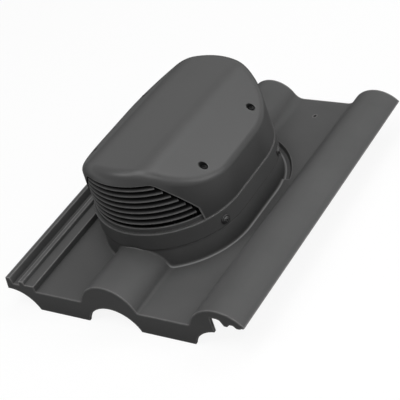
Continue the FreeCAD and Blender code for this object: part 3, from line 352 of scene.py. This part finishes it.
# painted shade: a black line along the seam under the ring's band, where its lap casts shade
SEAM_SHADE = {**AROUND, "Middle": RING_RADIUS, "Half width": 0.0020, "Softness": 0.0002,
             "Level": BAND_FOOT + 0.0016}
# painted shade: the blades darken towards their inner edge, where the blade above shades them
BLADE_SHADE = {**AROUND, "Half width": RING_RADIUS - 0.004, "Softness": 0.0022}
# painted shade: the hood's screw recesses go black
RECESS_SHADE = {"Across": SCREW_ACROSS, "Along": SCREW_ALONG, "Least": -1.0, "Half width": 0.0057,
               "Softness": 0.0005}


def plastic(name, level, roughness, specular, radius, wear_and_highlight=0.6, painted_shade=0.5, painted_shade_reach=0.005,
            mark=None, mark_level=0.0, grains=1900.0):
    """Dull dyed plastic: base grey level and gloss, radius of its rounded edges, strength of its
    rubbed edges (wear and painted highlight) and of its painted shade in hollows, and the size and
    grey level of its mark of painted light or shade."""
    material = bpy.data.materials.new(name)
    material.use_nodes = True
    tree = material.node_tree
    grain = add_node(tree, "ShaderNodeGroup", node_tree=grain_group)
    grain.inputs["Grains per metre"].default_value = grains
    clouds = grain.outputs["Clouds"]
    edges = add_node(tree, "ShaderNodeGroup", node_tree=edge_group)
    edges.inputs["Radius"].default_value = radius
    hollows = add_node(tree, "ShaderNodeGroup", node_tree=painted_shade_group)
    hollows.inputs["Reach"].default_value = painted_shade_reach

    tone = remap(tree, clouds, 0.3, 0.7, 1 - CLOUD_DEPTH, 1 + CLOUD_DEPTH)
    colour = mix_colour(tree, 1.0, grey(level), tone, blend="MULTIPLY")
    colour = mix_colour(tree, math_node(tree, "MULTIPLY", edges.outputs["Wear and highlight"], wear_and_highlight), colour,
                        grey(WEAR_AND_HIGHLIGHT_LEVEL, WEAR_AND_HIGHLIGHT_WARMTH))
    colour = mix_colour(tree, math_node(tree, "MULTIPLY", hollows.outputs["Painted shade"], painted_shade), colour,
                        grey(PAINTED_SHADE_LEVEL))
    # the mark paints light or shade into the colour: a highlight at the collar's foot on the tile, shade
    # on the ring, hood and grille
    if mark:
        band = add_node(tree, "ShaderNodeGroup", node_tree=mark_group)
        for label, size in mark.items():
            band.inputs[label].default_value = size
        colour = mix_colour(tree, math_node(tree, "MULTIPLY", band.outputs["Share"], MARK_STRENGTH),
                            colour, grey(mark_level))
    dull = remap(tree, clouds, 0.3, 0.7, roughness - 0.04, roughness + 0.05)
    facing = add_node(tree, "ShaderNodeLayerWeight", {"Blend": 0.5}).outputs["Facing"]
    bumps = add_node(tree, "ShaderNodeBump", {
        "Height": grain.outputs["Height"], "Distance": GRAIN_DEPTH, "Strength": 1.0,
        "Normal": edges.outputs["Normal"]}).outputs[0]
    shader = tree.nodes["Principled BSDF"]
    tree.links.new(colour, shader.inputs["Base Color"])
    tree.links.new(remap(tree, facing, 0.45, 0.80, dull, 1.0), shader.inputs["Roughness"])
    tree.links.new(bumps, shader.inputs["Normal"])
    shader.inputs["Specular IOR Level"].default_value = specular
    return material


PLASTICS = {
    # painted shade: on the tile it reaches 30 mm, so it darkens the pans beside the collar and the rolls
    "tile_base": plastic("tile_plastic", 0.104, 0.40, 0.05, 0.0011, wear_and_highlight=0.9, painted_shade_reach=0.03,
                         mark=FOOT_HIGHLIGHT, mark_level=0.24),
    "collar_ring": plastic("ring_plastic", 0.086, 0.38, 0.08, 0.0007, wear_and_highlight=0.8,
                           mark=SEAM_SHADE, mark_level=0.012),
    "hood": plastic("hood_plastic", 0.037, 0.40, 0.45, 0.0006, painted_shade=0.0,
                    mark=RECESS_SHADE, mark_level=0.005),
    "louvre_grille": plastic("grille_plastic", 0.085, 0.42, 0.05, 0.0007, wear_and_highlight=0.7,
                             mark=BLADE_SHADE, mark_level=0.006),
    "duct_spigot": plastic("spigot_plastic", 0.072, 0.42, 0.15, 0.0005, grains=2600.0),
}
print("plastics:", ", ".join(material.name for material in PLASTICS.values()))

# %% [markdown]
# ## Rubber and metal
# The washer under the duct's flange is soft black rubber: no edge wear, higher roughness, and a
# coarser bloom of noise. The screws are steel with a dark baked coat, with pale rubbed edges that
# are partly painted highlight. Those of the ring shine a little. Those sunk in the hood are duller,
# and their coat is darker as painted shade for their deep recesses.

# %% Rubber and screw materials


def rubber(name, level):
    """Black rubber with a faint bloom."""
    material = bpy.data.materials.new(name)
    material.use_nodes = True
    tree = material.node_tree
    shader = tree.nodes["Principled BSDF"]
    grain = add_node(tree, "ShaderNodeGroup", node_tree=grain_group)
    grain.inputs["Grains per metre"].default_value = 3200.0
    grain.inputs["Clouds per metre"].default_value = 90.0
    bloom = mix_colour(tree, grain.outputs["Clouds"], grey(level), grey(level * 1.7, 0.03))
    bumps = add_node(tree, "ShaderNodeBump", {"Height": grain.outputs["Height"], "Distance": 0.00004})
    tree.links.new(bloom, shader.inputs["Base Color"])
    tree.links.new(bumps.outputs[0], shader.inputs["Normal"])
    shader.inputs["Roughness"].default_value = 0.8
    return material


def coated_steel(name, level, specular):
    """Dark coat on steel: rubbed pale at its edges, partly wear and partly painted highlight, and
    slightly uneven in gloss.
    """
    material = bpy.data.materials.new(name)
    material.use_nodes = True
    tree = material.node_tree
    shader = tree.nodes["Principled BSDF"]
    grain = add_node(tree, "ShaderNodeGroup", node_tree=grain_group)
    grain.inputs["Grains per metre"].default_value = 2400.0
    grain.inputs["Clouds per metre"].default_value = 300.0
    edges = add_node(tree, "ShaderNodeGroup", node_tree=edge_group)
    edges.inputs["Radius"].default_value = 0.00015
    edges.inputs["Break-up per metre"].default_value = 900.0
    rubbed_and_highlit = mix_colour(tree, math_node(tree, "MULTIPLY", edges.outputs["Wear and highlight"], 0.35),
                        grey(level), grey(level * 4, 0.02))
    bumps = add_node(tree, "ShaderNodeBump", {
        "Height": grain.outputs["Height"], "Distance": 0.00001,
        "Normal": edges.outputs["Normal"]}).outputs[0]
    tree.links.new(rubbed_and_highlit, shader.inputs["Base Color"])
    tree.links.new(remap(tree, grain.outputs["Clouds"], 0.0, 1.0, 0.28, 0.44), shader.inputs["Roughness"])
    tree.links.new(bumps, shader.inputs["Normal"])
    shader.inputs["Specular IOR Level"].default_value = specular
    return material


SEAL = rubber("seal_rubber_black", 0.02)
STEEL = coated_steel("screw_coat", 0.03, 0.5)
# painted shade: the sunk screws' coat is darker than the ring screws' to stand for the shade in their
# recesses
SUNK_STEEL_PAINTED_SHADE = coated_steel("sunk_screw_coat_painted_shade", 0.010, 0.08)

# %% [markdown]
# ## Give the solids their finish
# A solid keeps its mesh. Only what its material slots hold is changed.

# %% Assign the materials
for node_name, material in {**PLASTICS, "duct_seal": SEAL}.items():
    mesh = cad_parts[node_name].data
    for index in range(len(mesh.materials)):
        mesh.materials[index] = material
    print(node_name, "->", material.name, len(mesh.polygons), "triangles")

# %% [markdown]
# ## Screws
# Eight screws hold the ring and the hood. A screw is a surface of revolution with two departures:
# a thread that winds round the shank, and a recess sunk into the head for the driver. Both are
# simple functions of height and angle, so the whole screw is one grid: rows run from the tip to
# the middle of the head, columns run round the axis.

# %% Turned grid


def turned_mesh(name, rings, first, last):
    """Closed mesh from rings of points (rows, columns, 3) between two end points.
    Each cell of the grid is a quad, and a fan of triangles closes each end."""
    rows, columns, _ = rings.shape
    points = np.vstack([rings.reshape(-1, 3), first, last])
    index = np.arange(rows * columns).reshape(rows, columns)
    after = np.roll(index, -1, axis=1)
    quads = np.stack([index[:-1], after[:-1], after[1:], index[1:]], axis=-1).reshape(-1, 4)
    start = np.full(columns, rows * columns)
    low_fan = np.stack([start, after[0], index[0]], axis=-1)
    high_fan = np.stack([start + 1, index[-1], after[-1]], axis=-1)
    mesh = bpy.data.meshes.new(name)
    mesh.from_pydata(points.tolist(), [], quads.tolist() + low_fan.tolist() + high_fan.tolist())
    mesh.polygons.foreach_set("use_smooth", np.ones(len(mesh.polygons), bool))
    mesh.update()
    return mesh


# %% [markdown]
# The thread's height over the core is a triangle wave of (height / pitch - angle / full turn): it
# is the same along a helix, so its crest winds up the shank. It fades out at the tip and below the
# head. The recess takes depth * inside(x, y), where inside is 1 within the driver's outline and
# falls to 0 over a narrow band. For a cross the outline is two crossed bars; for a star it is a
# circle whose radius swings six times a turn.

# %% Screw shape
COLUMNS = 72
ROWS_PER_TURN = 9
SHANK = 0.0020
PITCH = 0.0016
THREAD = 0.00035
NECK = 0.0004  # smooth shank below the head
RUN_OUT = 0.0015  # the thread fades over this length below the head
TAPER = 0.003  # and over this length at the tip
BLUNT, FAINTEST = 0.25, 0.12  # what is left at the tip, of the core's radius and of the thread
POINT = 0.0006
DOME = 0.0002  # rise of the head's middle
RECESS_SLOPE = 0.00012
CROSS_REACH, CROSS_HALF_WIDTH = 0.0019, 0.00045
STAR_RADIUS, STAR_SWING, STAR_POINTS = 0.00135, 0.00022, 6


def driver_outline(kind, x, y):
    """How far a point lies inside the driver's outline, in metres."""
    if kind == "cross":
        reach = CROSS_REACH - np.maximum(abs(x), abs(y))
        return np.minimum(reach, CROSS_HALF_WIDTH - np.minimum(abs(x), abs(y)))
    return STAR_RADIUS + STAR_SWING * np.cos(STAR_POINTS * np.arctan2(y, x)) - np.hypot(x, y)


def head_line(corners, steps=10, inner_steps=26):
    """Radius and height along the head: straight from corner to corner, then a low dome inwards,
    whose height is the top's plus DOME * (1 - (radius / head's radius) squared)."""
    share = np.linspace(0, len(corners) - 1, steps * (len(corners) - 1) + 1)
    radius, height = (np.interp(share, np.arange(len(corners)), column) for column in corners.T)
    inner = np.linspace(radius[-1], 0, inner_steps)[1:-1]
    dome = corners[-1, 1] + DOME * (1 - (inner / corners[:, 0].max()) ** 2)
    return np.append(radius, inner), np.append(height, dome)


def screw_rings(length, head_profile, kind, depth):
    """Rings of a screw along +Z with its seat at z = 0, and its two end points."""
    corners = np.array(head_profile)
    top_radius, top = corners[-1]
    angle = np.linspace(0, 2 * np.pi, COLUMNS, endpoint=False)
    z = np.linspace(-length, -NECK, int(length / PITCH * ROWS_PER_TURN))
    from_tip = (z + length) / TAPER
    core = (SHANK - THREAD) * np.clip(from_tip + BLUNT, 0, 1)
    fade = np.clip(from_tip, FAINTEST, 1) * np.clip(-z / RUN_OUT, 0, 1)
    wave = 1 - abs(2 * ((z[:, None] / PITCH - angle / (2 * np.pi)) % 1) - 1)
    thread = core[:, None] + THREAD * fade[:, None] * wave
    head_r, head_z = head_line(corners)
    all_r = np.vstack([thread, np.repeat(head_r[:, None], COLUMNS, 1)])
    all_z = np.repeat(np.append(z, head_z)[:, None], COLUMNS, 1)
    x, y = all_r * np.cos(angle), all_r * np.sin(angle)
    inside = np.clip(driver_outline(kind, x, y) / RECESS_SLOPE, 0, 1)
    on_top = (all_z > top - 0.0006) & (all_r < top_radius * 1.2)
    rings = np.stack([x, y, all_z - np.where(on_top, depth * inside, 0)], axis=-1)
    return rings, (0, 0, -length - POINT), (0, 0, top + DOME - depth)


# %% [markdown]
# A screw is worked out upright at the origin and then its points are moved to its seat. The seats
# are read from the solids that the screws stand for: the head's end of the solid, on its axis.

# %% Place the screws
RING_AXIS = {"front_right": -20, "back_right": 20, "back_left": 160, "front_left": 200}
HOOD_HEAD = [(0.0021, 0.0), (0.0040, 0.0001), (0.0040, 0.0009), (0.0036, 0.0019), (0.0026, 0.0026)]
RING_HEAD = [(0.0021, 0.0), (0.0060, 0.0001), (0.0060, 0.0010), (0.0056, 0.0014), (0.0042, 0.0015),
             (0.0041, 0.0021), (0.0036, 0.0030), (0.0024, 0.0034)]
TIP_SLICE = 0.0001


def put_screw(name, axis, head_height, spin, shape, coat):
    """Screw in the place of one solid: its axis, and its seat below the top of the head."""
    points = solid_points(name)
    axis = Vector(axis).normalized()
    along = points @ np.array(axis)
    tip = points[along < along.min() + TIP_SLICE]
    centre = Vector(((tip.min(0) + tip.max(0)) / 2).tolist())
    seat = centre + axis * float(along.max() - head_height - centre.dot(axis))
    rings, first, last = shape
    mesh = turned_mesh(name + "_cut", rings, first, last)
    turn = axis.to_track_quat("Z", "Y").to_matrix().to_4x4() @ Matrix.Rotation(math.radians(spin), 4, "Z")
    mesh.transform(Matrix.Translation(seat) @ turn)
    mesh.materials.append(coat)
    piece = bpy.data.objects.new(name + "_cut", mesh)
    bpy.context.scene.collection.objects.link(piece)
    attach(piece, "root")
    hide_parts(name)
    print(piece.name, "seat", [round(x, 4) for x in seat], len(mesh.polygons), "faces")


hood_shape = screw_rings(0.020, HOOD_HEAD, "cross", 0.0013)
ring_shape = screw_rings(0.011, RING_HEAD, "star", 0.0014)
for step, corner in enumerate(("front_right", "back_right", "back_left", "front_left")):
    put_screw("hood_screw_" + corner, (0, 0, 1), HOOD_HEAD[-1][1], 20 + 55 * step, hood_shape, SUNK_STEEL_PAINTED_SHADE)
    out = math.radians(RING_AXIS[corner])
    put_screw("ring_screw_" + corner, (math.cos(out), math.sin(out), 0), RING_HEAD[-1][1], 15 * step,
              ring_shape, STEEL)

# %% [markdown]
# ## Ground and backdrop
# The photograph's ground is pure white and the tile seems to float on it. A white floor that the
# lamps fill completely comes close, and keeps a trace of shadow where the tile touches it. For
# camera, mirror and glass rays the floor adds light of its own, so that it shows white there; for
# all other rays it is plain dull paint, so that it throws little light on the tile. Below the
# duct no lamp reaches the floor, so the added light fades out there: 0 within DARK of the duct's
# axis, 1 beyond LIT. Looking in through the grille then shows a dark duct, as on a roof. The floor
# has only an upper side: from below it is clear, so that the underside can be looked at.

# %% Floor
FLOOR_SIDE = 40.0
FLOOR_DROP = 0.0003
FLOOR_GLOW = 0.90
DARK, LIT = 0.066, 0.080


def seen_directly(tree):
    """1 for rays of the camera, of a reflection and through glass, 0 for all others."""
    path = add_node(tree, "ShaderNodeLightPath")
    seen = math_node(tree, "MAXIMUM", path.outputs["Is Camera Ray"], path.outputs["Is Glossy Ray"])
    return math_node(tree, "MAXIMUM", seen, path.outputs["Is Transmission Ray"])


floor_mesh = bpy.data.meshes.new("floor")
half = FLOOR_SIDE / 2
floor_mesh.from_pydata([(-half, -half, 0), (half, -half, 0), (half, half, 0), (-half, half, 0)], [],
                       [(0, 1, 2, 3)])
floor = bpy.data.objects.new("floor", floor_mesh)
floor.location.z = -FLOOR_DROP
bpy.context.scene.collection.objects.link(floor)
floor_material = bpy.data.materials.new("floor_paint")
floor_material.use_nodes = True
floor_tree = floor_material.node_tree
paint = floor_tree.nodes["Principled BSDF"]
paint.inputs["Roughness"].default_value = 0.9
paint.inputs["Specular IOR Level"].default_value = 0.0
speckle = add_node(floor_tree, "ShaderNodeTexNoise", {"Scale": 60.0, "Detail": 3.0})
floor_tree.links.new(mix_colour(floor_tree, speckle.outputs[0], grey(0.10), grey(0.12)),
                     paint.inputs["Base Color"])
from_duct = add_node(floor_tree, "ShaderNodeVectorMath", {
    0: add_node(floor_tree, "ShaderNodeTexCoord").outputs["Object"], 1: COLLAR_AXIS},
    operation="DISTANCE").outputs["Value"]
open_ground = remap(floor_tree, from_duct, DARK, LIT, interpolation_type="SMOOTHSTEP")
glow = add_node(floor_tree, "ShaderNodeEmission", {
    "Color": grey(FLOOR_GLOW),
    "Strength": math_node(floor_tree, "MULTIPLY", seen_directly(floor_tree), open_ground)})
lit_paint = add_node(floor_tree, "ShaderNodeAddShader", {0: paint.outputs[0], 1: glow.outputs[0]})
one_sided = add_node(floor_tree, "ShaderNodeMixShader", {
    0: add_node(floor_tree, "ShaderNodeNewGeometry").outputs["Backfacing"],
    1: lit_paint.outputs[0],
    2: add_node(floor_tree, "ShaderNodeBsdfTransparent").outputs[0]})
floor_tree.links.new(one_sided.outputs[0], floor_tree.nodes["Material Output"].inputs["Surface"])
floor_mesh.materials.append(floor_material)

# %% [markdown]
# The world is white where the camera or a reflection looks past the floor. For all other rays it
# is dark, so that the lamps alone light the tile.

# %% World
world = bpy.data.worlds.new("room")
bpy.context.scene.world = world
world.use_nodes = True
room = world.node_tree
room.nodes.clear()
room_light = add_node(room, "ShaderNodeBackground", {"Color": grey(1.0), "Strength": seen_directly(room)})
room_end = add_node(room, "ShaderNodeOutputWorld")
room.links.new(room_light.outputs[0], room_end.inputs["Surface"])
bpy.context.scene.view_settings.view_transform = "Standard"
print("world:", world.name, "view:", bpy.context.scene.view_settings.view_transform)
